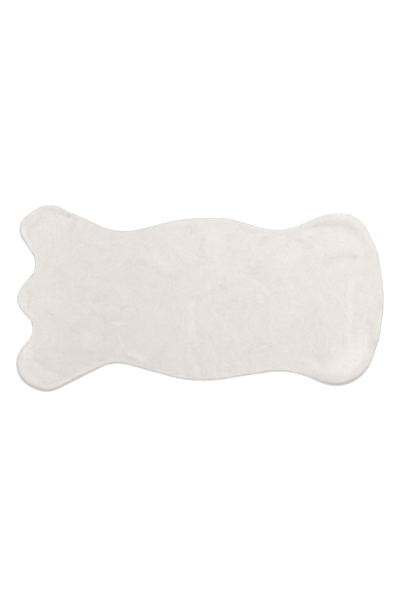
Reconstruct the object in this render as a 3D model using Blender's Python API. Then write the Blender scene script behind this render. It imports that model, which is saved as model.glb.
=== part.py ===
# A pelt-shaped plush rug: one padded sheet with a rolled rim, lying flat on its underside.
# Metres, +Z up. The origin is on the floor, under the middle of the rug's box.
# +X runs from the three toes to the rounded end, and +Y to the far long side.

import math
from collections import namedtuple

import bmesh
import bpy
import numpy as np
from mathutils import Vector
from mathutils.geometry import delaunay_2d_cdt

# Driving sizes
LENGTH = 1.200  # from the toes to the rounded end
THICKNESS = 0.016  # of the sheet where it lies level, pile included

# How finely the rug is drawn and faceted
DRAWING_STEP = 0.002  # between points of the outline as it is drawn
RIM_STEP = 0.0115  # between points along the rim
TOP_STEP = 0.0130  # between points over the top
UNDERSIDE_STEP = 0.060  # between points over the flat underside
OUTLINE_EASE = 0.005  # each way, over which one arc passes into the next
ROLL_EASE = 0.035  # each way, over which one height of the roll passes into the next

# Colour of the pile
CREAM = (0.79, 0.75, 0.70, 1.0)
PILE_ROUGHNESS = 0.95

# The outline is a belt drawn round these circles, anticlockwise as seen from above.
# A lobe's radius is positive, a hollow's is negative. The edge is turned in and stands
# up as a soft roll: roll is how far it stands above the sheet, and crest is how far in
# from the outline its top lies.
Arc = namedtuple("Arc", "name x y radius roll crest")
OUTLINE = (
    Arc("far toe", -0.533, 0.222, 0.056, 0.0014, 0.008),
    Arc("far notch", -0.600, 0.110, -0.062, 0.0002, 0.004),
    Arc("middle toe", -0.535, -0.003, 0.061, 0.0006, 0.005),
    Arc("near notch", -0.601, -0.102, -0.055, 0.0002, 0.004),
    Arc("near toe", -0.517, -0.216, 0.083, 0.0018, 0.016),
    Arc("near heel", -0.500, -0.219, 0.087, 0.0016, 0.008),
    Arc("near left waist", -0.267, -0.338, -0.124, 0.0008, 0.006),
    Arc("near side", 0.011, 0.150, 0.420, 0.0000, 0.003),
    Arc("near right waist", 0.256, -0.500, -0.260, 0.0002, 0.004),
    Arc("near right corner", 0.443, -0.162, 0.125, 0.0006, 0.009),
    Arc("end, near part", 0.390, -0.086, 0.200, 0.0008, 0.008),
    Arc("end, middle", 0.199, -0.005, 0.400, 0.0004, 0.005),
    Arc("end, far part", 0.402, 0.095, 0.186, 0.0014, 0.010),
    Arc("far right corner", 0.461, 0.182, 0.094, 0.0024, 0.016),
    Arc("far right shoulder", 0.444, 0.126, 0.150, 0.0024, 0.015),
    Arc("far right waist", 0.249, 0.401, -0.180, 0.0002, 0.004),
    Arc("far side, right", 0.055, 0.020, 0.240, 0.0000, 0.004),
    Arc("far side, left", 0.005, -0.221, 0.480, 0.0000, 0.004),
    Arc("far left waist", -0.246, 0.416, -0.199, 0.0002, 0.004),
    Arc("slope to the far heel", -0.465, 0.080, 0.200, 0.0004, 0.008),
    Arc("tuck before the far heel", -0.431, 0.294, -0.010, 0.0008, 0.008),
    Arc("far heel", -0.489, 0.219, 0.084, 0.0016, 0.009),
)

# The rim in section, from the floor up and inward. inset is measured in from the outline
# in crests, height is in thicknesses, and roll and fold are the shares of the rim's roll
# and of the sheet's unevenness that are added there.
Rim = namedtuple("Rim", "name inset height roll fold")
RIM = (
    Rim("edge of the underside", 0.42, 0.00, 0.0, 0.0),
    Rim("lower flank", 0.14, 0.16, 0.0, 0.0),
    Rim("widest line", 0.00, 0.46, 0.1, 0.0),
    Rim("upper flank", 0.12, 0.72, 0.3, 0.3),
    Rim("shoulder", 0.45, 0.90, 0.8, 0.7),
    Rim("crest", 1.00, 0.98, 1.0, 1.0),
    Rim("inner slope", 1.75, 0.99, 0.5, 1.0),
    Rim("groove", 2.60, 1.00, -0.2, 1.0),
    Rim("level sheet", 4.20, 1.00, 0.0, 1.0),
)
ROUND_THE_RIM = RIM[:-1]  # each of these is a ring of points
OVER_THE_TOP = RIM[5:]

# Soft creases of the sheet, each an arc from one end to the other. bow is how far the
# middle stands to the left of the chord, width is the half width, and rise is negative
# in a trough.
Crease = namedtuple("Crease", "name x0 y0 x1 y1 bow width rise")
CREASES = (
    Crease("curl of the near right corner", 0.395, -0.245, 0.530, -0.165, -0.030, 0.032, 0.0045),
    Crease("groove inside the far toe", -0.427, 0.264, -0.559, 0.220, -0.026, 0.012, -0.0016),
    Crease("groove inside the middle toe", -0.567, 0.035, -0.564, -0.045, 0.006, 0.009, -0.0008),
    Crease("valley inside the near toe", -0.541, -0.207, -0.429, -0.258, -0.010, 0.011, -0.0012),
    Crease("trough inside the near heel", -0.415, -0.182, -0.335, -0.186, 0.000, 0.015, -0.0010),
    Crease("trough at the near left waist", -0.317, -0.085, -0.294, -0.195, 0.004, 0.023, -0.0012),
    Crease("ridge at the near left waist", -0.263, -0.100, -0.273, -0.185, 0.000, 0.014, 0.0008),
    Crease("pucker at the near left waist", -0.224, -0.190, -0.178, -0.213, 0.000, 0.010, 0.0014),
    Crease("band towards the middle", -0.230, 0.160, -0.091, 0.088, 0.004, 0.018, 0.0006),
    Crease("trough beside that band", -0.230, 0.112, -0.092, 0.057, 0.004, 0.014, -0.0008),
    Crease("middle ridge", -0.033, -0.028, -0.034, -0.128, 0.000, 0.013, 0.0011),
    Crease("slant below the far right waist", 0.222, 0.216, 0.354, 0.162, 0.004, 0.013, -0.0010),
    Crease("groove of the far right corner", 0.355, 0.222, 0.498, 0.218, 0.010, 0.012, -0.0018),
    Crease("groove down the rounded end", 0.487, 0.217, 0.540, 0.134, 0.006, 0.010, -0.0011),
    Crease("fold below the far right corner", 0.405, 0.113, 0.499, 0.132, 0.008, 0.013, -0.0014),
    Crease("end of that fold", 0.497, 0.130, 0.545, 0.116, 0.000, 0.011, -0.0008),
    Crease("ridge along the rounded end", 0.495, 0.042, 0.484, -0.153, -0.008, 0.012, 0.0012),
)

# Broad soft rises and dips of the padding under the pile, and the nicks in the rounded end.
Swell = namedtuple("Swell", "name x y reach rise")
SWELLS = (
    Swell("dome in the far right corner", 0.448, 0.183, 0.045, 0.0016),
    Swell("rise of the near right corner", 0.485, -0.205, 0.060, 0.0020),
    Swell("curl of the near toe", -0.515, -0.270, 0.045, 0.0012),
    Swell("outer side of the near toe", -0.574, -0.180, 0.030, 0.0008),
    Swell("rise inside the far toe", -0.485, 0.236, 0.040, 0.0010),
    Swell("rise behind the middle toe", -0.500, -0.010, 0.045, 0.0008),
    Swell("dip inside the near right corner", 0.396, -0.218, 0.028, -0.0010),
    Swell("dip on the near right corner", 0.460, -0.150, 0.018, -0.0008),
    Swell("dip right of the middle", 0.192, 0.085, 0.026, -0.0010),
    Swell("rise on the far side", 0.042, 0.196, 0.036, 0.0010),
    Swell("rise below the far right waist", 0.300, 0.140, 0.036, 0.0010),
    Swell("dip at the far right waist", 0.205, 0.189, 0.020, -0.0009),
    Swell("nick in the end, middle", 0.587, -0.031, 0.013, -0.0021),
    Swell("nick in the end, near part", 0.567, -0.155, 0.016, -0.0026),
    Swell("nick in the end, far part", 0.556, 0.050, 0.012, -0.0010),
)

Outline = namedtuple("Outline", "points inward roll crest middle scale")


def clear_scene():
    for obj in list(bpy.data.objects):
        bpy.data.objects.remove(obj, do_unlink=True)


def on_circle(arc, heading):
    """Where the belt touches the arc's circle when it runs this way."""
    x = arc.x + arc.radius * math.sin(heading)
    y = arc.y - arc.radius * math.cos(heading)
    return x, y


def tangent_heading(arc, after):
    """The direction of the straight run from one circle to the next."""
    across, up = after.x - arc.x, after.y - arc.y
    lean = math.asin((after.radius - arc.radius) / math.hypot(across, up))
    return math.atan2(up, across) - lean


def drawn_belt():
    """Rows of x, y, roll and crest, round the circles and so along the runs between."""
    rows = []
    for i, arc in enumerate(OUTLINE):
        start = tangent_heading(OUTLINE[i - 1], arc)
        end = tangent_heading(arc, OUTLINE[(i + 1) % len(OUTLINE)])
        turn = (end - start) % math.copysign(math.tau, arc.radius)
        steps = max(2, math.ceil(abs(turn * arc.radius) / DRAWING_STEP))
        for heading in np.linspace(start, start + turn, steps):
            rows.append((*on_circle(arc, heading), arc.roll, arc.crest))
    return np.array(rows)


def evenly_spaced(rows, step):
    """The closed line through the rows, with a point about every step along it."""
    closed = np.vstack([rows, rows[:1]])
    sides = np.hypot(*np.diff(closed[:, :2], axis=0).T)
    along = np.concatenate([[0.0], np.cumsum(sides)])
    places = np.linspace(0.0, along[-1], round(along[-1] / step), endpoint=False)
    return np.stack([np.interp(places, along, column) for column in closed.T], axis=1)


def eased(column, reach):
    """The column with each value averaged with its neighbours on the belt, twice."""
    count = round(reach / DRAWING_STEP)
    for _ in range(2):
        column = sum(np.roll(column, shift) for shift in range(-count, count + 1))
        column = column / (2 * count + 1)
    return column


def rug_outline():
    """The rug's outline at its real length, with the middle of its box at 0, 0."""
    x, y, roll, crest = evenly_spaced(drawn_belt(), DRAWING_STEP).T
    eased_rows = [eased(x, OUTLINE_EASE), eased(y, OUTLINE_EASE)]
    eased_rows += [eased(roll, ROLL_EASE), eased(crest, ROLL_EASE)]
    rows = evenly_spaced(np.stack(eased_rows, axis=1), RIM_STEP)
    drawn = rows[:, :2]
    scale = LENGTH / np.ptp(drawn[:, 0])
    middle = (drawn.min(axis=0) + drawn.max(axis=0)) / 2
    points = (drawn - middle) * scale
    along = np.roll(points, -1, axis=0) - np.roll(points, 1, axis=0)
    inward = np.stack([-along[:, 1], along[:, 0]], axis=1)
    inward /= np.linalg.norm(inward, axis=1, keepdims=True)
    return Outline(points, inward, rows[:, 2], rows[:, 3], middle, scale)


def nearest_rim(points, outline):
    """For each point, its depth in from the outline, negative outside, and the nearest
    point of the outline by number."""
    starts = outline.points
    sides = np.roll(starts, -1, axis=0) - starts
    lengths = (sides**2).sum(axis=1)
    depths = np.empty(len(points))
    places = np.empty(len(points), int)
    for i, point in enumerate(points):
        share = np.clip(((point - starts) * sides).sum(axis=1) / lengths, 0, 1)
        away = point - (starts + sides * share[:, None])
        near = (away**2).sum(axis=1).argmin()
        inside = sides[near, 0] * away[near, 1] > sides[near, 1] * away[near, 0]
        depths[i] = math.hypot(*away[near]) * (1 if inside else -1)
        places[i] = near
    return depths, places


def bell(distance, reach):
    return np.exp(-((distance / reach) ** 2))


def unevenness(points, outline):
    """Height that the creases and swells add at each point."""
    x, y = (points / outline.scale + outline.middle).T
    rise = np.zeros(len(points))
    for crease in CREASES:
        east, north = crease.x1 - crease.x0, crease.y1 - crease.y0
        length = math.hypot(east, north)
        share = ((x - crease.x0) * east + (y - crease.y0) * north) / length**2
        aside = ((y - crease.y0) * east - (x - crease.x0) * north) / length
        aside -= 4 * crease.bow * share * (1 - share)
        past = np.maximum(np.abs(share - 0.5) - 0.5, 0) * length
        rise += crease.rise * bell(aside, crease.width) * bell(past, crease.width)
    for swell in SWELLS:
        away = np.hypot(x - swell.x, y - swell.y)
        rise += swell.rise * bell(away, swell.reach)
    return rise


def ring_points(outline, rim):
    """One closed ring of the rim's section, as 3-D points."""
    flat = outline.points + outline.inward * (rim.inset * outline.crest)[:, None]
    height = THICKNESS * rim.height + outline.roll * rim.roll
    height = height + unevenness(flat, outline) * rim.fold
    return np.column_stack([flat, height])


def top_points(outline):
    """Points over the top inside the last ring, as high as the rim's section says."""
    flat = staggered_grid(outline.points, TOP_STEP)
    depths, places = nearest_rim(flat, outline)
    insets = depths / outline.crest[places]
    kept = depths > ROUND_THE_RIM[-1].inset * outline.crest[places] + TOP_STEP / 2
    flat, insets, places = flat[kept], insets[kept], places[kept]
    steps = [rim.inset for rim in OVER_THE_TOP]
    level = np.interp(insets, steps, [rim.height for rim in OVER_THE_TOP])
    roll = np.interp(insets, steps, [rim.roll for rim in OVER_THE_TOP])
    height = THICKNESS * level + outline.roll[places] * roll + unevenness(flat, outline)
    return np.column_stack([flat, height])


def underside_points(outline):
    """Points over the flat underside, well inside its edge."""
    flat = staggered_grid(outline.points, UNDERSIDE_STEP)
    flat = flat[nearest_rim(flat, outline)[0] > UNDERSIDE_STEP / 2]
    return np.column_stack([flat, np.zeros(len(flat))])


def staggered_grid(ring, step):
    """Points in staggered rows over the ring's box."""
    low, high = ring.min(axis=0), ring.max(axis=0)
    rows = np.arange(low[1], high[1], step * math.sqrt(3) / 2)
    columns = np.arange(low[0], high[0], step)
    return np.array([(x + step / 2 * (i % 2), y) for i, y in enumerate(rows) for x in columns])


def fill_ring(bm, ring, inner):
    """Fills a closed ring of vertices with triangles through the inner 3-D points."""
    corners = list(ring) + [bm.verts.new(point) for point in inner]
    flat = [Vector(corner.co[:2]) for corner in corners]
    loop = [(i, (i + 1) % len(ring)) for i in range(len(ring))]
    inside_the_loop, tolerance = 1, 1e-6
    filled = delaunay_2d_cdt(flat, loop, [], inside_the_loop, tolerance)
    faces, sources = filled[2], filled[3]
    for face in faces:
        bm.faces.new([corners[sources[i][0]] for i in face])


def rug_solid(outline):
    """The closed rug: flat underside, rolled rim and uneven top."""
    bm = bmesh.new()
    rings = []
    for rim in ROUND_THE_RIM:
        rings.append([bm.verts.new(point) for point in ring_points(outline, rim)])
    for lower, upper in zip(rings, rings[1:]):
        for i in range(len(lower)):
            before = i - 1
            bm.faces.new((lower[before], lower[i], upper[i], upper[before]))
    fill_ring(bm, rings[-1], top_points(outline))
    fill_ring(bm, rings[0], underside_points(outline))
    bmesh.ops.recalc_face_normals(bm, faces=bm.faces)
    mesh = bpy.data.meshes.new("plush_rug")
    bm.to_mesh(mesh)
    bm.free()
    return mesh


def cream_plush():
    material = bpy.data.materials.new("cream_plush")
    material.use_nodes = True
    shader = material.node_tree.nodes["Principled BSDF"]
    shader.inputs["Base Color"].default_value = CREAM
    shader.inputs["Roughness"].default_value = PILE_ROUGHNESS
    shader.inputs["Metallic"].default_value = 0.0
    return material


def build_rug():
    mesh = rug_solid(rug_outline())
    mesh.materials.append(cream_plush())
    mesh.shade_smooth()
    rug = bpy.data.objects.new("plush_rug", mesh)
    bpy.context.scene.collection.objects.link(rug)


clear_scene()
build_rug()
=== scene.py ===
import math

import bpy
import numpy as np
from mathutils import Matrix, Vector
from mathutils.geometry import delaunay_2d_cdt
from mathutils.kdtree import KDTree


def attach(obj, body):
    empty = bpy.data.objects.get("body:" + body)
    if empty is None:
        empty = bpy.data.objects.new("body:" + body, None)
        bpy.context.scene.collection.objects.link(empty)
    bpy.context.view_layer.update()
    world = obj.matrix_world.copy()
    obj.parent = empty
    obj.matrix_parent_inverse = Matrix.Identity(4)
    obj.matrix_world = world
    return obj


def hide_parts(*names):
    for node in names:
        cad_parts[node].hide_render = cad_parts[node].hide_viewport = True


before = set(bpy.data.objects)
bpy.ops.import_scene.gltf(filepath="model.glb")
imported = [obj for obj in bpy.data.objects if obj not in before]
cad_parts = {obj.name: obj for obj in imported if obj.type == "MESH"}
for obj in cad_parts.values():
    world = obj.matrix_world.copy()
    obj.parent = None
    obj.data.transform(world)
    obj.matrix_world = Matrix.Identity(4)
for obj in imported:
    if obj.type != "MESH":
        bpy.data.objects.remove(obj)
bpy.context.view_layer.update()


# The cut of the rug, in metres. +X runs from the toes to the rounded end, +Y to the far side.
# The outline is a belt drawn round these circles, anticlockwise: a hollow's radius is negative.
# roll is how far the turned edge stands above the sheet, crest how far in its top lies.
rugCut = {
    "length": 1.200,
    "thickness": 0.016,  # where it lies level, pile included
    "drawingStep": 0.002,
    "outlineEase": 0.005,
    "rollEase": 0.035,
    "fullCrest": 0.013,  # on a narrower edge than this the pile is cut shorter,
    "leastFull": 0.38,  # down to this share of its length
    "arcs": [
        # name, x, y, radius, roll, crest, painted light on the pile's edge: paler above 0, painted shade
        # below 0
        ("far toe", -0.533, 0.222, 0.056, 0.0014, 0.008, 0.1),
        ("far notch", -0.600, 0.110, -0.062, 0.0002, 0.004, 0.3),
        ("middle toe", -0.535, -0.003, 0.061, 0.0006, 0.005, 0.4),
        ("near notch", -0.601, -0.102, -0.055, 0.0002, 0.004, 0.5),
        ("near toe", -0.517, -0.216, 0.083, 0.0018, 0.016, -0.1),
        ("near heel", -0.500, -0.219, 0.087, 0.0016, 0.008, 0.2),
        ("near left waist", -0.267, -0.338, -0.124, 0.0008, 0.006, 0.6),
        ("near side", 0.011, 0.150, 0.420, 0.0000, 0.003, 1.0),
        ("near right waist", 0.256, -0.500, -0.260, 0.0002, 0.004, 0.9),
        ("near right corner", 0.443, -0.162, 0.125, 0.0006, 0.009, 0.2),
        ("end, near part", 0.390, -0.086, 0.200, 0.0008, 0.008, 0.2),
        ("end, middle", 0.199, -0.005, 0.400, 0.0004, 0.005, 0.3),
        ("end, far part", 0.402, 0.095, 0.186, 0.0014, 0.010, 0.1),
        ("far right corner", 0.461, 0.182, 0.094, 0.0024, 0.016, -0.2),
        ("far right shoulder", 0.444, 0.126, 0.150, 0.0024, 0.015, -0.2),
        ("far right waist", 0.249, 0.401, -0.180, 0.0002, 0.004, -0.3),
        ("far side, right", 0.055, 0.020, 0.240, 0.0000, 0.004, -0.4),
        ("far side, left", 0.005, -0.221, 0.480, 0.0000, 0.004, -0.5),
        ("far left waist", -0.246, 0.416, -0.199, 0.0002, 0.004, -0.8),
        ("slope to the far heel", -0.465, 0.080, 0.200, 0.0004, 0.008, -0.1),
        ("tuck before the far heel", -0.431, 0.294, -0.010, 0.0008, 0.008, 0.0),
        ("far heel", -0.489, 0.219, 0.084, 0.0016, 0.009, 0.0),
    ],
}


def tangentHeading(arc, after):
    # direction of the straight run from one circle to the next
    across, up = after[1] - arc[1], after[2] - arc[2]
    return math.atan2(up, across) - math.asin((after[3] - arc[3]) / math.hypot(across, up))


def drawBelt(arcs, step):
    rows = []
    for i, arc in enumerate(arcs):
        # pale is the painted light on the pile's edge, painted shade where below 0
        name, x, y, radius, roll, crest, pale = arc
        start = tangentHeading(arcs[i - 1], arc)
        end = tangentHeading(arc, arcs[(i + 1) % len(arcs)])
        turn = (end - start) % math.copysign(math.tau, radius)
        for h in np.linspace(start, start + turn, max(2, math.ceil(abs(turn * radius) / step))):
            rows.append((x + radius * math.sin(h), y - radius * math.cos(h), roll, crest, pale))
    return np.array(rows)


def spaceEvenly(rows, step):
    closed = np.vstack([rows, rows[:1]])
    along = np.concatenate([[0.0], np.cumsum(np.hypot(*np.diff(closed[:, :2], axis=0).T))])
    places = np.linspace(0.0, along[-1], round(along[-1] / step), endpoint=False)
    return np.stack([np.interp(places, along, column) for column in closed.T], axis=1)


def easeColumn(column, count):
    # each value averaged with its neighbours round the belt, twice
    for _ in range(2):
        column = sum(np.roll(column, shift) for shift in range(-count, count + 1)) / (2 * count + 1)
    return column


def cutOutline(cut, step):
    # points of the outline at real length, each with its inward direction, roll, crest and painted edge
    # light (painted shade where below 0), and the share of its full length that the pile has there
    drawn = spaceEvenly(drawBelt(cut["arcs"], cut["drawingStep"]), cut["drawingStep"])
    shapeEase = round(cut["outlineEase"] / cut["drawingStep"])
    rollEase = round(cut["rollEase"] / cut["drawingStep"])
    eased = [easeColumn(column, shapeEase) for column in drawn.T[:2]]
    eased += [easeColumn(column, rollEase) for column in drawn.T[2:]]
    rows = spaceEvenly(np.stack(eased, axis=1), step)
    drawn = rows[:, :2]
    scale = cut["length"] / np.ptp(drawn[:, 0])
    middle = (drawn.min(axis=0) + drawn.max(axis=0)) / 2
    points = (drawn - middle) * scale
    along = np.roll(points, -1, axis=0) - np.roll(points, 1, axis=0)
    inward = np.stack([-along[:, 1], along[:, 0]], axis=1)
    inward /= np.linalg.norm(inward, axis=1, keepdims=True)
    fullness = np.clip(rows[:, 3] / cut["fullCrest"], cut["leastFull"], 1)
    return {"points": points, "inward": inward, "roll": rows[:, 2], "crest": rows[:, 3],
            "pale": rows[:, 4], "fullness": fullness, "middle": middle, "scale": scale}


# How the padded sheet lies: the section of its turned edge, its creases and its soft rises.
rugLie = {
    # from the floor up and inward. inset is in crests, height in thicknesses, roll and fold are
    # shares, sideways and down are the shares of the pile's depth by which the ground lies inside.
    "edge": [
        # name, inset, height, roll, fold, sideways, down
        ("edge of the underside", 0.42, 0.00, 0.0, 0.0, 0.0, 0.0),
        ("lower flank", 0.14, 0.16, 0.0, 0.0, 0.9, 0.0),
        ("widest line", 0.00, 0.46, 0.1, 0.0, 1.0, 0.1),
        ("upper flank", 0.12, 0.72, 0.3, 0.3, 0.9, 0.4),
        ("shoulder", 0.45, 0.90, 0.8, 0.7, 0.6, 0.8),
        ("crest", 1.00, 0.98, 1.0, 1.0, 0.2, 1.0),
        ("inner slope", 1.75, 0.99, 0.5, 1.0, 0.0, 1.0),
        ("groove", 2.60, 1.00, -0.2, 1.0, 0.0, 1.0),
        ("level sheet", 4.20, 1.00, 0.0, 1.0, 0.0, 1.0),
        ("far in", 6.00, 1.00, 0.0, 1.0, 0.0, 1.0),
    ],
    "crestRow": 5,  # the crest's place in that table, counted from 0
    # each crease runs from one end to the other. bow is how far its middle stands to the left
    # of the chord, width is the half width, and a trough's rise is negative. nap is how the pile
    # lies there: 1 is pressed to twice its lean, -1 stands upright, so that its roots show.
    "creases": [
        # name, x0, y0, x1, y1, bow, width, rise, nap
        ("curl of the near right corner", 0.395, -0.245, 0.530, -0.165, -0.030, 0.032, 0.0045, 0.5),
        ("outer side of that curl", 0.406, -0.264, 0.535, -0.217, -0.025, 0.013, 0.0000, -0.6),
        ("groove inside the far toe", -0.427, 0.264, -0.559, 0.220, -0.026, 0.012, -0.0016, -0.50),
        ("groove inside the middle toe", -0.567, 0.035, -0.564, -0.045, 0.006, 0.009, -0.0008, -0.25),
        ("valley inside the near toe", -0.541, -0.207, -0.429, -0.258, -0.010, 0.011, -0.0012, 0.00),
        ("lip of the near heel", -0.439, -0.267, -0.339, -0.225, 0.000, 0.009, 0.0004, 0.00),
        ("trough inside the near heel", -0.415, -0.182, -0.335, -0.186, 0.000, 0.015, -0.0010, -0.35),
        ("trough at the near left waist", -0.317, -0.085, -0.294, -0.195, 0.004, 0.023, -0.0012, -0.10),
        ("ridge at the near left waist", -0.263, -0.100, -0.273, -0.185, 0.000, 0.014, 0.0008, 0.05),
        ("pucker at the near left waist", -0.224, -0.190, -0.178, -0.213, 0.000, 0.010, 0.0014, 0.05),
        ("fold under that pucker", -0.215, -0.215, -0.173, -0.226, 0.000, 0.006, -0.0003, 0.00),
        ("band towards the middle", -0.230, 0.160, -0.091, 0.088, 0.004, 0.018, 0.0006, 0.30),
        ("trough beside that band", -0.230, 0.112, -0.092, 0.057, 0.004, 0.014, -0.0008, -0.10),
        ("middle ridge", -0.033, -0.028, -0.034, -0.128, 0.000, 0.013, 0.0011, 0.35),
        ("trough beside the middle ridge", -0.013, -0.010, -0.014, -0.112, 0.000, 0.008, -0.0005, -0.20),
        ("faint trough left of the middle", -0.078, -0.018, -0.075, -0.060, 0.000, 0.007, -0.0005, -0.25),
        ("slanting ridge in the middle", 0.019, 0.094, 0.058, 0.048, 0.002, 0.008, 0.0005, 0.05),
        ("slant below the far right waist", 0.222, 0.216, 0.354, 0.162, 0.004, 0.013, -0.0010, -0.15),
        ("groove of the far right corner", 0.355, 0.222, 0.498, 0.218, 0.010, 0.012, -0.0018, -0.25),
        ("groove down the rounded end", 0.487, 0.217, 0.540, 0.134, 0.006, 0.010, -0.0011, -0.25),
        ("fold below the far right corner", 0.405, 0.113, 0.499, 0.132, 0.008, 0.013, -0.0014, -0.45),
        ("end of that fold", 0.497, 0.130, 0.545, 0.116, 0.000, 0.011, -0.0008, -0.35),
        ("ridge along the rounded end", 0.495, 0.042, 0.484, -0.153, -0.008, 0.012, 0.0012, 0.45),
        # and these only turn the pile, as a hand would
        ("pile stroked flat on the toes", -0.620, 0.250, -0.620, -0.250, 0.000, 0.110, 0.0000, 0.75),
        ("pile stroked up behind them", -0.250, 0.220, -0.250, -0.200, 0.000, 0.100, 0.0000, -0.22),
    ],
    "swells": [
        # name, x, y, reach, rise, nap
        ("dome in the far right corner", 0.448, 0.183, 0.045, 0.0016, 0.40),
        ("rise of the near right corner", 0.485, -0.205, 0.060, 0.0020, 1.00),
        ("curl of the near toe", -0.515, -0.270, 0.045, 0.0012, 0.20),
        ("outer side of the near toe", -0.574, -0.180, 0.030, 0.0008, 0.50),
        ("rise inside the far toe", -0.485, 0.236, 0.040, 0.0010, 0.50),
        ("rise behind the middle toe", -0.500, -0.010, 0.045, 0.0008, 0.30),
        ("dip inside the near right corner", 0.396, -0.218, 0.028, -0.0010, -0.70),
        ("dip on the near right corner", 0.460, -0.150, 0.018, -0.0008, -0.70),
        ("bump by the near right waist", 0.277, -0.178, 0.014, 0.0010, 0.80),
        ("dip right of the middle", 0.192, 0.085, 0.026, -0.0010, -0.50),
        ("rise on the far side", 0.042, 0.196, 0.036, 0.0010, 0.40),
        ("rise below the far right waist", 0.300, 0.140, 0.036, 0.0010, 0.50),
        ("dip at the far right waist", 0.205, 0.189, 0.020, -0.0009, -0.80),
        ("dimple on the far side", 0.002, 0.160, 0.009, -0.0005, -0.70),
        ("bump beside that dimple", -0.039, 0.164, 0.010, 0.0005, 0.90),
        ("dimple right of the slanting ridge", 0.065, 0.031, 0.008, -0.0005, -0.90),
        ("dimple near the middle", 0.059, -0.040, 0.008, -0.0004, -0.90),
        ("dimple above the near right waist", 0.224, -0.160, 0.009, -0.0006, -0.80),
        ("dimple left of that one", 0.157, -0.175, 0.009, -0.0005, -0.80),
        ("dimple inside the far toe", -0.430, 0.216, 0.009, -0.0005, -0.80),
        ("nick in the end, middle", 0.587, -0.031, 0.013, -0.0021, -0.85),
        ("nick in the end, near part", 0.567, -0.155, 0.016, -0.0026, -0.95),
        ("nick in the end, far part", 0.556, 0.050, 0.012, -0.0010, -0.15),
        ("dent inside the end", 0.555, -0.077, 0.013, -0.0008, -0.75),
    ],
    # uneven padding under the hand: patch size, then height and nap, both ways
    "padding": [(0.055, 0.00020, 0.04), (0.021, 0.00012, 0.04), (0.0085, 0.00004, 0.04)],
    "paddingSeed": 7,
}


def bell(distance, reach):
    return np.exp(-((distance / reach) ** 2))


def softNoise(points, size, seed):
    # smooth uneven values from -1 to 1, in patches of about this size
    across = 256  # patches each way before they repeat
    cells = np.random.default_rng(seed).uniform(-1, 1, (across, across))
    place = points / size
    corner = np.floor(place).astype(int)
    part = place - corner
    part = part * part * (3 - 2 * part)
    x, y = corner.T % across
    nextX, nextY = (x + 1) % across, (y + 1) % across
    west, east = 1 - part[:, 0], part[:, 0]
    south, north = 1 - part[:, 1], part[:, 1]
    low = cells[x, y] * west + cells[nextX, y] * east
    high = cells[x, nextY] * west + cells[nextX, nextY] * east
    return low * south + high * north


def foldsAt(points, outline, lie):
    # what the creases, the swells and the uneven padding add at each point: height and nap
    x, y = (points / outline["scale"] + outline["middle"]).T
    folds = np.zeros((2, len(points)))
    for name, x0, y0, x1, y1, bow, width, rise, nap in lie["creases"]:
        length = math.hypot(x1 - x0, y1 - y0)
        share = ((x - x0) * (x1 - x0) + (y - y0) * (y1 - y0)) / length**2
        aside = ((y - y0) * (x1 - x0) - (x - x0) * (y1 - y0)) / length
        aside -= 4 * bow * share * (1 - share)
        past = np.maximum(np.abs(share - 0.5) - 0.5, 0) * length
        folds += np.outer((rise, nap), bell(aside, width) * bell(past, width))
    for name, centreX, centreY, reach, rise, nap in lie["swells"]:
        folds += np.outer((rise, nap), bell(np.hypot(x - centreX, y - centreY), reach))
    for i, (size, rise, nap) in enumerate(lie["padding"]):
        folds += np.outer((rise, nap), softNoise(points, size, lie["paddingSeed"] + i))
    return folds


def foldHeight(points, outline, lie):
    return foldsAt(points, outline, lie)[0]


def smoothEdge(lie, perSpan=16):
    # the edge's rows with rounded runs between them (a cubic through each row)
    rows = np.array([row[1:] for row in lie["edge"]])
    padded = np.vstack([2 * rows[0] - rows[1], rows, 2 * rows[-1] - rows[-2]])
    fine = []
    for before, a, b, after in zip(padded, padded[1:], padded[2:], padded[3:]):
        for t in np.linspace(0, 1, perSpan, endpoint=False):
            slopeA, slopeB = (b - before) / 2, (after - a) / 2
            fine.append(a * (1 + 2 * t) * (1 - t) ** 2 + b * t * t * (3 - 2 * t)
                        + slopeA * t * (1 - t) ** 2 - slopeB * t * t * (1 - t))
    fine.append(rows[-1])
    return np.array(fine), lie["crestRow"] * perSpan


def rimRing(outline, row, cut, lie, pileDepth):
    # one closed ring of the ground round the rug
    inset, height, roll, fold, sideways, down = row
    flat = outline["points"] + outline["inward"] * (inset * outline["crest"])[:, None]
    top = cut["thickness"] * height + outline["roll"] * roll
    top = top + foldHeight(flat, outline, lie) * fold - pileDepth["top"] * down
    flat = flat + outline["inward"] * (pileDepth["rim"] * outline["fullness"] * sideways)[:, None]
    return np.column_stack([flat, top])


def staggeredGrid(ring, step):
    low, high = ring.min(axis=0), ring.max(axis=0)
    rows = np.arange(low[1], high[1], step * math.sqrt(3) / 2)
    columns = np.arange(low[0], high[0], step)
    x = columns[None, :] + step / 2 * (np.arange(len(rows)) % 2)[:, None]
    y = np.broadcast_to(rows[:, None], x.shape)
    return np.column_stack([x.ravel(), y.ravel()])


def nearestRim(points, outline):
    # for each point: its depth in from the outline (negative outside) and the nearest place on it
    tree = KDTree(len(outline["points"]))
    for i, (x, y) in enumerate(outline["points"]):
        tree.insert((x, y, 0), i)
    tree.balance()
    places = np.array([tree.find((x, y, 0))[1] for x, y in points])
    away = points - outline["points"][places]
    depth = (away * outline["inward"][places]).sum(axis=1)
    return depth, places


# The ground: the padded cloth that the pile stands on.
ground = {
    "name": "plush_ground",
    "step": 0.00335,  # between points
    "underStep": 0.030,
    "usualCrest": 0.012,  # by which the rings up the edge are spaced
    "clearOfRing": 0.6,  # of a step, between the last ring and the points inside it
    "pileDepth": {"top": 0.0043, "rim": 0.0042},  # how far it lies inside the pile's surface
    "lowestPile": 0.0018,  # above the floor
    "sliver": 1e-8,  # a face smaller than this is counted, in square metres
}


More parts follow.
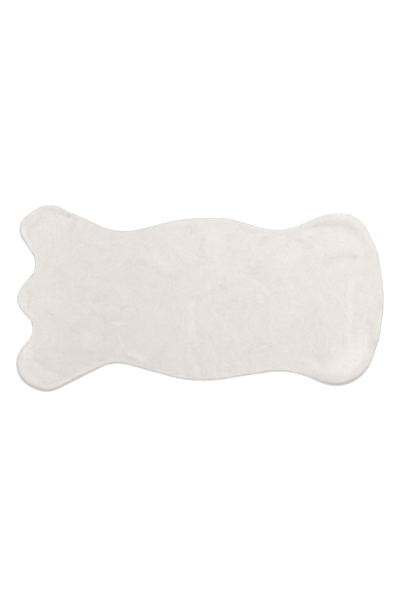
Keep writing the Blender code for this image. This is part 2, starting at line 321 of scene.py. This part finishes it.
def groundTop(flat, outline, fineEdge, cut, lie, depth):
    # height of the ground at points inside the crest
    inward, places = nearestRim(flat, outline)
    insets = inward / outline["crest"][places]
    level = np.interp(insets, fineEdge[:, 0], fineEdge[:, 1])
    roll = np.interp(insets, fineEdge[:, 0], fineEdge[:, 2])
    height = cut["thickness"] * level + outline["roll"][places] * roll
    return height + foldHeight(flat, outline, lie) - depth["top"]


def fillRing(corners, first, count, inner):
    # triangles over a closed ring of points through the inner ones, as numbers of points
    start = len(corners)
    flat = [Vector(p[:2]) for p in corners[first:first + count]] + [Vector(p[:2]) for p in inner]
    loop = [(i, (i + 1) % count) for i in range(count)]
    insideTheLoop, tolerance = 1, 1e-7
    filled = delaunay_2d_cdt(flat, loop, [], insideTheLoop, tolerance)
    faces, sources = filled[2], filled[3]
    number = [s[0] + first if s[0] < count else s[0] - count + start for s in sources]
    return [tuple(number[i] for i in face) for face in faces]


def meshFrom(name, corners, faces):
    mesh = bpy.data.meshes.new(name)
    mesh.vertices.add(len(corners))
    mesh.vertices.foreach_set("co", np.asarray(corners, np.float32).ravel())
    mesh.loops.add(faces.size)
    mesh.loops.foreach_set("vertex_index", faces.ravel().astype(np.int32))
    mesh.polygons.add(len(faces))
    mesh.polygons.foreach_set("loop_start", np.arange(0, faces.size, 3, dtype=np.int32))
    mesh.update(calc_edges=True)
    mesh.shade_smooth()
    return mesh


def placePiece(mesh):
    piece = bpy.data.objects.new(mesh.name, mesh)
    bpy.context.scene.collection.objects.link(piece)
    return piece


def ringRows(flank, cut, ground):
    # rows of the edge's section, evenly spaced from the floor up to the crest
    path = np.column_stack([flank[:, 0] * ground["usualCrest"], flank[:, 1] * cut["thickness"]])
    along = np.concatenate([[0.0], np.cumsum(np.hypot(*np.diff(path, axis=0).T))])
    stops = np.linspace(0, along[-1], round(along[-1] / ground["step"]) + 1)
    return [[np.interp(s, along, column) for column in flank.T] for s in stops]


def facesBetweenRings(ringCount, count):
    around = np.arange(count)
    after = (around + 1) % count
    faces = []
    for i in range(ringCount - 1):
        low, high = i * count, (i + 1) * count
        faces += [np.column_stack([low + around, low + after, high + after])]
        faces += [np.column_stack([low + around, high + after, high + around])]
    return faces


def makeGround(cut, outline, lie, ground):
    fineEdge, crestAt = smoothEdge(lie)
    depth = ground["pileDepth"]
    rings = ringRows(fineEdge[:crestAt + 1], cut, ground)
    count = len(outline["points"])
    corners = np.vstack([rimRing(outline, ring, cut, lie, depth) for ring in rings])
    faces = facesBetweenRings(len(rings), count)

    # the top, inside the crest
    inner = staggeredGrid(outline["points"], ground["step"])
    deep, places = nearestRim(inner, outline)
    crestInset, crestSideways = rings[-1][0], rings[-1][4]
    ringDeep = outline["crest"][places] * crestInset + depth["rim"] * crestSideways
    inner = inner[deep > ringDeep + ground["step"] * ground["clearOfRing"]]
    heights = groundTop(inner, outline, fineEdge[crestAt:], cut, lie, depth)
    innerRing = (len(rings) - 1) * count
    faces.append(np.array(fillRing(corners, innerRing, count, inner)))
    corners = np.vstack([corners, np.column_stack([inner, heights])])

    # the flat underside, facing down
    under = staggeredGrid(outline["points"], ground["underStep"])
    under = under[nearestRim(under, outline)[0] > ground["underStep"] / 2]
    underFaces = np.array(fillRing(corners, 0, count, under))[:, ::-1]
    corners = np.vstack([corners, np.column_stack([under, np.zeros(len(under))])])
    faces.append(underFaces)

    piece = placePiece(meshFrom(ground["name"], corners, np.vstack(faces)))
    slots = np.zeros(len(piece.data.polygons), np.int32)
    slots[-len(underFaces):] = 1  # the backing's slot
    piece.data.polygons.foreach_set("material_index", slots)
    areas = np.zeros(len(slots))
    piece.data.polygons.foreach_get("area", areas)
    print("ground made,", len(slots), "faces, slivers", int((areas < ground["sliver"]).sum()))
    return piece


# The pile: short soft tufts, one on each point of the ground and one on each face.
pile = {
    "strips": ["pile_toes", "pile_left", "pile_middle", "pile_right", "pile_end"],
    "length": 0.0060,
    "lengthSpread": 0.16,
    "sunk": 0.0007,  # root below the ground's surface
    "rootWidth": 1.05,  # of the space it has
    "shift": 0.33,  # off its place, in spaces
    "lengthPatches": (0.012, 0.08),  # size, and share by which they are longer or shorter
    "lean": 0.45,  # sideways for each step up
    "leanPatches": (0.030, 0.12),  # size, and share by which they lean more or less
    "napLimits": (-1.2, 1.2),  # of what the folds add to the lean, in leans
    "strayed": 0.24,  # each tuft's own way
    "napHeading": math.radians(110),
    "napTurn": math.radians(18),  # how far the nap wanders
    "napPatches": [(0.120, 0.7), (0.045, 0.5)],  # size and share of the wandering
    "droop": 0.10,  # over the rim
    "fanned": (0.15, 0.93),  # how far the ground faces up where the tufts stand doubled
    "softness": 0.70,  # how far the tufts take the sheet's own shading where it lies level
    "rootFlare": 0.001,  # how far above its root a tuft's sides are shaded from
    "skyward": 1.2,  # how far a tip on the flank is shaded as its upper side
    "ownShade": (0.2, 0.4),  # each tuft's own shade
    "paintedEdgeLightAndShade": 0.6,  # and the painted light that the outline's pale column adds to it on the steepest edge, painted shade where that column is below 0
    "lowestTip": 0.0006,
    "seed": 11,
}


def groundPlaces(mesh, lowestPile):
    # roots, the way up and the space at each: every point of the ground and every face
    points = np.zeros(len(mesh.vertices) * 3)
    mesh.vertices.foreach_get("co", points)
    normals = np.zeros(len(mesh.vertices) * 3)
    mesh.vertices.foreach_get("normal", normals)
    points, normals = points.reshape(-1, 3), normals.reshape(-1, 3)
    corners = np.zeros(len(mesh.loops), np.int32)
    mesh.loops.foreach_get("vertex_index", corners)
    corners = corners.reshape(-1, 3)
    slot = np.zeros(len(mesh.polygons), np.int32)
    mesh.polygons.foreach_get("material_index", slot)
    corners = corners[slot == 0]
    areas = np.linalg.norm(np.cross(points[corners[:, 1]] - points[corners[:, 0]],
                                    points[corners[:, 2]] - points[corners[:, 0]]), axis=1) / 2
    share = np.zeros(len(points))
    for k in range(3):
        np.add.at(share, corners[:, k], areas / 9)  # a third of each face, between its corners
    used = share > 0
    roots = np.vstack([points[used], points[corners].mean(axis=1)])
    ups = np.vstack([normals[used], normals[corners].sum(axis=1)])
    ups /= np.linalg.norm(ups, axis=1, keepdims=True)
    spaces = np.sqrt(np.concatenate([share[used], areas / 3]))
    kept = roots[:, 2] > lowestPile
    return roots[kept], ups[kept], spaces[kept]


def unit(vectors):
    return vectors / np.linalg.norm(vectors, axis=1, keepdims=True)


def napField(roots, pile):
    # the way the pile lies at each root, as if stroked by hand
    turn = np.zeros(len(roots))
    for i, (size, share) in enumerate(pile["napPatches"]):
        turn += share * softNoise(roots[:, :2], size, pile["seed"] + 20 + i)
    heading = pile["napHeading"] + pile["napTurn"] * turn
    return np.column_stack([np.cos(heading), np.sin(heading), np.zeros(len(roots))])


def plantTufts(groundMesh, lowestPile, pile, dice):
    # each tuft's root, its way up, its space, and two directions across the ground there
    roots, ups, spaces = groundPlaces(groundMesh, lowestPile)
    steepest, levelMost = pile["fanned"]
    fanned = np.flatnonzero((ups[:, 2] > steepest) & (ups[:, 2] < levelMost))
    again = np.concatenate([np.arange(len(roots)), fanned])  # twice as many round the shoulder
    roots, ups, spaces = roots[again], ups[again], spaces[again]
    side = unit(np.cross(ups, dice.normal(size=(len(roots), 3))))
    across = np.cross(ups, side)
    shift = dice.uniform(-pile["shift"], pile["shift"], (len(roots), 2)) * spaces[:, None]
    roots = roots + side * shift[:, :1] + across * shift[:, 1:]
    return roots, ups, spaces, side, across


def leanTufts(roots, ups, steepness, outline, lie, pile, dice):
    # the way each tuft points: up, over with the nap and the folds, and a little its own way
    size, share = pile["leanPatches"]
    leaning = 1 + share * softNoise(roots[:, :2], size, pile["seed"] + 1)
    field = napField(roots, pile)
    seenAt = roots[:, :2] + field[:, :2] * pile["length"] * pile["lean"]  # where its tip lies
    leaning += np.clip(foldsAt(seenAt, outline, lie)[1], *pile["napLimits"])
    way = ups + field * (pile["lean"] * leaning * ups[:, 2])[:, None]
    way += dice.normal(size=(len(roots), 3)) * pile["strayed"]
    way[:, 2] -= pile["droop"] * steepness
    return unit(way)


def tuftLengths(roots, steepness, fullness, pile, dice):
    length = pile["length"] * (1 + pile["lengthSpread"] * dice.uniform(-1, 1, len(roots)))
    size, share = pile["lengthPatches"]
    length *= 1 + share * softNoise(roots[:, :2], size, pile["seed"] + 2)
    return length * (1 - (1 - fullness) * steepness)  # cut shorter round a narrow edge


def tuftCorners(roots, ups, spaces, side, across, tips, pile):
    # three corners round the root, and the tip
    corners = np.zeros((len(roots), 4, 3))
    for k in range(3):
        angle = math.tau * k / 3
        spoke = side * math.cos(angle) + across * math.sin(angle)
        corners[:, k] = roots - ups * pile["sunk"] + spoke * (spaces * pile["rootWidth"])[:, None]
    corners[:, 3] = tips
    corners[:, :, 2] = np.maximum(corners[:, :, 2], pile["lowestTip"])
    return corners


def tuftShading(corners, roots, ups, way, steepness, pile):
    # each corner's shading direction: the tuft's own, softened by the sheet's
    shading = np.zeros(corners.shape)
    soft = (pile["softness"] * np.clip(ups[:, 2], 0, 1) ** 2)[:, None]
    for k in range(3):
        own = unit(corners[:, k] - roots + ups * pile["rootFlare"])
        shading[:, k] = unit(ups * soft + own * (1 - soft))
    skyward = way + np.outer(pile["skyward"] * steepness, (0, 0, 1))
    shading[:, 3] = unit(ups * soft + unit(skyward) * (1 - soft))
    return shading


def makeStrip(name, corners, shading, shade):
    # one strip of the pile, each tuft closed by four triangles
    faces = np.array([[0, 1, 3], [1, 2, 3], [2, 0, 3], [0, 2, 1]])
    faces = (faces[None] + 4 * np.arange(len(corners))[:, None, None]).reshape(-1, 3)
    mesh = meshFrom(name, corners.reshape(-1, 3), faces)
    mesh.normals_split_custom_set_from_vertices(shading.reshape(-1, 3))
    fromRoot = mesh.attributes.new("rootToTip", "FLOAT", "POINT")
    fromRoot.data.foreach_set("value", np.tile([0, 0, 0, 1], len(corners)).astype(np.float32))
    # the tuft's random tone with the painted edge light and shade, which the finish turns into colour
    ownShade = mesh.attributes.new("tuftToneAndEdgeLight", "FLOAT", "POINT")
    ownShade.data.foreach_set("value", np.repeat(shade, 4).astype(np.float32))
    return placePiece(mesh)


def makePile(groundMesh, lowestPile, outline, lie, pile):
    dice = np.random.default_rng(pile["seed"])
    roots, ups, spaces, side, across = plantTufts(groundMesh, lowestPile, pile, dice)
    steepness = 1 - np.clip(ups[:, 2], 0, 1)
    way = leanTufts(roots, ups, steepness, outline, lie, pile, dice)
    rim = nearestRim(roots[:, :2], outline)[1]
    length = tuftLengths(roots, steepness, outline["fullness"][rim], pile, dice)
    tips = roots + way * length[:, None]
    corners = tuftCorners(roots, ups, spaces, side, across, tips, pile)
    shading = tuftShading(corners, roots, ups, way, steepness, pile)
    # each tuft's own random tone, plus painted light on the pale edges and painted shade on the dull ones
    shade = dice.uniform(*pile["ownShade"], len(roots))
    shade += pile["paintedEdgeLightAndShade"] * outline["pale"][rim] * np.sqrt(steepness)

    order = np.argsort(roots[:, 0], kind="stable")
    strips = np.array_split(order, len(pile["strips"]))
    pieces = [makeStrip(name, corners[strip], shading[strip], shade[strip])
              for name, strip in zip(pile["strips"], strips)]
    print("pile made,", len(roots), "tufts in", len(pieces), "strips")
    return pieces


def newMaterial(name):
    material = bpy.data.materials.new(name)
    material.use_nodes = True
    nodes, links = material.node_tree.nodes, material.node_tree.links
    return material, nodes, links, nodes["Principled BSDF"]


def addNode(nodes, kind, at, **settings):
    node = nodes.new(kind)
    node.location = at
    for key, value in settings.items():
        if key in node.inputs:
            node.inputs[key].default_value = value
        else:
            setattr(node, key, value)
    return node


def addNoise(nodes, links, where, at, scale, detail=2.0):
    noise = addNode(nodes, "ShaderNodeTexNoise", at, Scale=scale, Detail=detail)
    links.new(where, noise.inputs["Vector"])
    return noise.outputs["Fac"]


def addRamp(nodes, links, value, at, stops):
    ramp = addNode(nodes, "ShaderNodeValToRGB", at)
    links.new(value, ramp.inputs["Fac"])
    ramp.color_ramp.elements[0].position, ramp.color_ramp.elements[0].color = stops[0]
    ramp.color_ramp.elements[1].position, ramp.color_ramp.elements[1].color = stops[-1]
    for position, colour in stops[1:-1]:
        ramp.color_ramp.elements.new(position).color = colour
    return ramp.outputs["Color"]


def addRange(nodes, links, value, at, low, high):
    spread = addNode(nodes, "ShaderNodeMapRange", at)
    spread.inputs["To Min"].default_value = low
    spread.inputs["To Max"].default_value = high
    links.new(value, spread.inputs["Value"])
    return spread.outputs["Result"]


def multiplyColours(nodes, links, a, b, at):
    mix = addNode(nodes, "ShaderNodeMix", at, data_type="RGBA", blend_type="MULTIPLY")
    mix.inputs["Factor"].default_value = 1.0
    links.new(a, mix.inputs[6])
    links.new(b, mix.inputs[7])
    return mix.outputs[2]


def addBump(nodes, links, height, at, strength, distance):
    bump = addNode(nodes, "ShaderNodeBump", at, Strength=strength, Distance=distance)
    links.new(height, bump.inputs["Height"])
    return bump.outputs["Normal"]


# The pile's finish: pale warm fibre, darker towards the root as painted shade deep among the tufts,
# faintly mottled.
plushFinish = {
    "root": (0.679, 0.651, 0.625, 1),
    "middle": (0.744, 0.716, 0.694, 1),
    "middleAt": 0.45,  # of the way up
    "tip": (0.800, 0.773, 0.752, 1),
    "coolPatch": (1.000, 0.997, 0.998, 1),
    "warmPatch": (1.000, 0.997, 0.979, 1),
    "patchScale": 5.0,  # per metre
    "patchEdges": (0.45, 0.72),  # from all cool to all warm
    "warmMiddle": (0.52, 0.26),  # half length and half width over which it fades to cool
    "warmShare": 0.32,  # of the middle's warmth; the rest comes in patches
    "mottle": (0.905, 1.041),  # darkest and palest fleck
    "mottleScale": 125.0,  # flecks per metre, about
    "mottleDetail": 1.5,
    "toneAndEdgeLightSpread": (0.84, 1.24),  # from the darkest tuft, with painted shade on a dull edge, to the palest, with painted light on a pale edge; the rest vary at random between
    "roughness": (0.82, 0.94),
    "shine": 0.2,
    "sheen": 0.25,
    "sheenRoughness": 0.45,
    "fibreScale": 2600.0,
    "fibreDetail": 1.0,
    "fibreBump": 0.25,
    "fibreDepth": 0.0002,
}


def addTint(nodes, links, place, finish):
    # warm in the middle of the rug and in patches, cool elsewhere
    patch = addNoise(nodes, links, place, (-1200, 100), finish["patchScale"])
    fromMiddle = addNode(nodes, "ShaderNodeMapping", (-1400, 700))
    halfLength, halfWidth = finish["warmMiddle"]
    fromMiddle.inputs["Scale"].default_value = (1 / halfLength, 1 / halfWidth, 1)
    links.new(place, fromMiddle.inputs["Vector"])
    middle = addNode(nodes, "ShaderNodeTexGradient", (-1200, 700), gradient_type="SPHERICAL")
    links.new(fromMiddle.outputs["Vector"], middle.inputs["Vector"])
    warmth = addNode(nodes, "ShaderNodeMath", (-1100, 200), operation="MULTIPLY_ADD")
    links.new(middle.outputs["Fac"], warmth.inputs[0])
    warmth.inputs[1].default_value = finish["warmShare"]
    links.new(patch, warmth.inputs[2])
    allCool, allWarm = finish["patchEdges"]
    return addRamp(nodes, links, warmth.outputs["Value"], (-1000, 200),
                   [(allCool, finish["coolPatch"]), (allWarm, finish["warmPatch"])])


def makePlushMaterial(finish):
    material, nodes, links, shader = newMaterial("cream_plush_pile")
    place = addNode(nodes, "ShaderNodeTexCoord", (-1400, 0)).outputs["Object"]
    along = addNode(nodes, "ShaderNodeAttribute", (-1200, 500), attribute_name="rootToTip")
    own = addNode(nodes, "ShaderNodeAttribute", (-1200, 300), attribute_name="tuftToneAndEdgeLight")
    # darker at the root, palest at the tip: painted shade down in the pile
    stops = [(0.0, finish["root"]), (finish["middleAt"], finish["middle"]), (1.0, finish["tip"])]
    fibre = addRamp(nodes, links, along.outputs["Fac"], (-1000, 500), stops)
    tint = addTint(nodes, links, place, finish)
    mottle = addNoise(nodes, links, place, (-1200, -100), finish["mottleScale"], finish["mottleDetail"])
    light = addRange(nodes, links, mottle, (-1000, -100), *finish["mottle"])
    # each tuft's random tone and its painted edge light and shade, as a share of the colour
    spread = addRange(nodes, links, own.outputs["Fac"], (-1000, 0), *finish["toneAndEdgeLightSpread"])
    colour = multiplyColours(nodes, links, fibre, tint, (-700, 400))
    colour = multiplyColours(nodes, links, colour, light, (-500, 300))
    colour = multiplyColours(nodes, links, colour, spread, (-300, 200))
    links.new(colour, shader.inputs["Base Color"])
    fine = addNoise(nodes, links, place, (-1200, -400), finish["fibreScale"], finish["fibreDetail"])
    rough = addRange(nodes, links, fine, (-800, -300), *finish["roughness"])
    links.new(rough, shader.inputs["Roughness"])
    bump = addBump(nodes, links, fine, (-600, -500), finish["fibreBump"], finish["fibreDepth"])
    links.new(bump, shader.inputs["Normal"])
    shader.inputs["Sheen Weight"].default_value = finish["sheen"]
    shader.inputs["Sheen Roughness"].default_value = finish["sheenRoughness"]
    shader.inputs["Specular IOR Level"].default_value = finish["shine"]
    return material


# The ground's finish: the dense roots of the pile, seen between the tufts, kept darker than the tips as
# painted shade under the pile; its noise varies the tone at random.
groundFinish = {
    "deep": (0.680, 0.648, 0.612, 1),
    "pale": (0.790, 0.757, 0.722, 1),
    "deepToPale": (0.3, 0.7),
    "rootScale": 420.0,
    "roughness": (0.86, 0.97),
    "shine": 0.2,
    "sheen": 0.15,
    "bump": 0.5,
    "depth": 0.0006,
}


def makeGroundMaterial(finish):
    material, nodes, links, shader = newMaterial("cream_plush_ground")
    place = addNode(nodes, "ShaderNodeTexCoord", (-1100, 0)).outputs["Object"]
    roots = addNoise(nodes, links, place, (-900, 0), finish["rootScale"])
    # random root tone, all of it darker than the pile's tips as painted shade beneath the tufts
    stops = list(zip(finish["deepToPale"], (finish["deep"], finish["pale"])))
    links.new(addRamp(nodes, links, roots, (-600, 200), stops), shader.inputs["Base Color"])
    rough = addRange(nodes, links, roots, (-600, -50), *finish["roughness"])
    links.new(rough, shader.inputs["Roughness"])
    bump = addBump(nodes, links, roots, (-600, -300), finish["bump"], finish["depth"])
    links.new(bump, shader.inputs["Normal"])
    shader.inputs["Sheen Weight"].default_value = finish["sheen"]
    shader.inputs["Specular IOR Level"].default_value = finish["shine"]
    return material


# The backing's finish: plain cream cloth with an even weave.
backingFinish = {
    "thread": (0.760, 0.720, 0.655, 1),
    "gap": (0.560, 0.520, 0.460, 1),
    "gapToThread": (0.0, 0.6),
    "threadScale": 210.0,  # threads per metre, about
    "threadWander": 0.4,
    "roughness": (0.80, 0.95),
    "shine": 0.25,
    "bump": 0.6,
    "depth": 0.0005,
}


def makeBackingMaterial(finish):
    material, nodes, links, shader = newMaterial("cream_backing_cloth")
    place = addNode(nodes, "ShaderNodeTexCoord", (-1300, 0)).outputs["Object"]
    threads = []
    for direction, at in (("X", 200), ("Y", -100)):
        wave = addNode(nodes, "ShaderNodeTexWave", (-1100, at), bands_direction=direction,
                       Scale=finish["threadScale"], Distortion=finish["threadWander"])
        links.new(place, wave.inputs["Vector"])
        threads.append(wave.outputs["Fac"])
    weave = addNode(nodes, "ShaderNodeMath", (-850, 50), operation="MULTIPLY")
    links.new(threads[0], weave.inputs[0])
    links.new(threads[1], weave.inputs[1])
    woven = weave.outputs["Value"]
    stops = list(zip(finish["gapToThread"], (finish["gap"], finish["thread"])))
    links.new(addRamp(nodes, links, woven, (-600, 200), stops), shader.inputs["Base Color"])
    rough = addRange(nodes, links, woven, (-600, -50), *finish["roughness"])
    links.new(rough, shader.inputs["Roughness"])
    bump = addBump(nodes, links, woven, (-600, -300), finish["bump"], finish["depth"])
    links.new(bump, shader.inputs["Normal"])
    shader.inputs["Specular IOR Level"].default_value = finish["shine"]
    return material


rugOutline = cutOutline(rugCut, ground["step"])
groundPiece = makeGround(rugCut, rugOutline, rugLie, ground)
pilePieces = makePile(groundPiece.data, ground["lowestPile"], rugOutline, rugLie, pile)

plushMaterial = makePlushMaterial(plushFinish)
groundPiece.data.materials.append(makeGroundMaterial(groundFinish))
groundPiece.data.materials.append(makeBackingMaterial(backingFinish))
for piece in pilePieces:
    piece.data.materials.append(plushMaterial)
print("finishes made")

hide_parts("plush_rug")
for piece in [groundPiece] + pilePieces:
    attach(piece, "root")


# The studio: a pale floor, an even white surround, a broad soft lamp beyond the far side
# and a weaker one over the rounded end.
studio = {
    "floorSize": 16.0,
    "floorHeight": -0.0004,  # just under the rug's underside
    "floorColour": (0.93, 0.93, 0.93, 1),
    "floorRoughness": 0.9,
    "floorShine": 0.1,
    "surround": 1.20,  # brightness
    "lamps": [
        # name, x, y, z, size, power
        ("main_lamp", -0.4, 1.6, 4.0, 2.4, 78.0),
        ("end_lamp", 1.3, 0.6, 1.9, 1.2, 13.0),
    ],
}


def layFloor(studio):
    half, height = studio["floorSize"] / 2, studio["floorHeight"]
    corners = [(x * half, y * half, height) for x, y in ((-1, -1), (1, -1), (1, 1), (-1, 1))]
    mesh = bpy.data.meshes.new("floor")
    mesh.from_pydata(corners, [], [(0, 1, 2, 3)])
    floor = placePiece(mesh)
    material, nodes, links, shader = newMaterial("pale_floor")
    shader.inputs["Base Color"].default_value = studio["floorColour"]
    shader.inputs["Roughness"].default_value = studio["floorRoughness"]
    shader.inputs["Specular IOR Level"].default_value = studio["floorShine"]
    mesh.materials.append(material)


def hangLamps(lamps):
    # each lamp faces the middle of the rug
    for name, x, y, z, size, power in lamps:
        light = bpy.data.lights.new(name, "AREA")
        light.shape = "DISK"
        light.size = size
        light.energy = power
        lamp = bpy.data.objects.new(name, light)
        lamp.location = (x, y, z)
        lamp.rotation_euler = (-lamp.location).to_track_quat("-Z", "Y").to_euler()
        lamp.visible_camera = False
        bpy.context.scene.collection.objects.link(lamp)


def makeStudio(studio):
    layFloor(studio)
    world = bpy.data.worlds.new("surround")
    bpy.context.scene.world = world
    world.use_nodes = True
    sky = world.node_tree.nodes["Background"]
    sky.inputs["Color"].default_value = (1, 1, 1, 1)
    sky.inputs["Strength"].default_value = studio["surround"]
    hangLamps(studio["lamps"])
    bpy.context.scene.view_settings.view_transform = "Standard"


# The camera looks straight down, as the photograph does.
photoView = {
    "imageWidth": 401,
    "imageHeight": 601,
    "rugCentrePx": (200.0, 298.0),
    "metresPerPx": 0.003261,
    "lens": 100.0,
    "sensor": 36.0,
    "farthestSeen": 60.0,
    "rugHeight": 0.008,  # where the outline is widest
}


def placeCamera(view):
    camera = bpy.data.cameras.new("view_from_above")
    camera.lens = view["lens"]
    camera.sensor_width = view["sensor"]
    camera.clip_end = view["farthestSeen"]
    seen = view["imageHeight"] * view["metresPerPx"]
    distance = seen / view["sensor"] * view["lens"]
    holder = bpy.data.objects.new("view_from_above", camera)
    across = (view["imageWidth"] / 2 - view["rugCentrePx"][0]) * view["metresPerPx"]
    up = (view["rugCentrePx"][1] - view["imageHeight"] / 2) * view["metresPerPx"]
    holder.location = (across, up, distance + view["rugHeight"])
    bpy.context.scene.collection.objects.link(holder)
    bpy.context.scene.camera = holder


makeStudio(studio)
placeCamera(photoView)
print("studio and camera set")
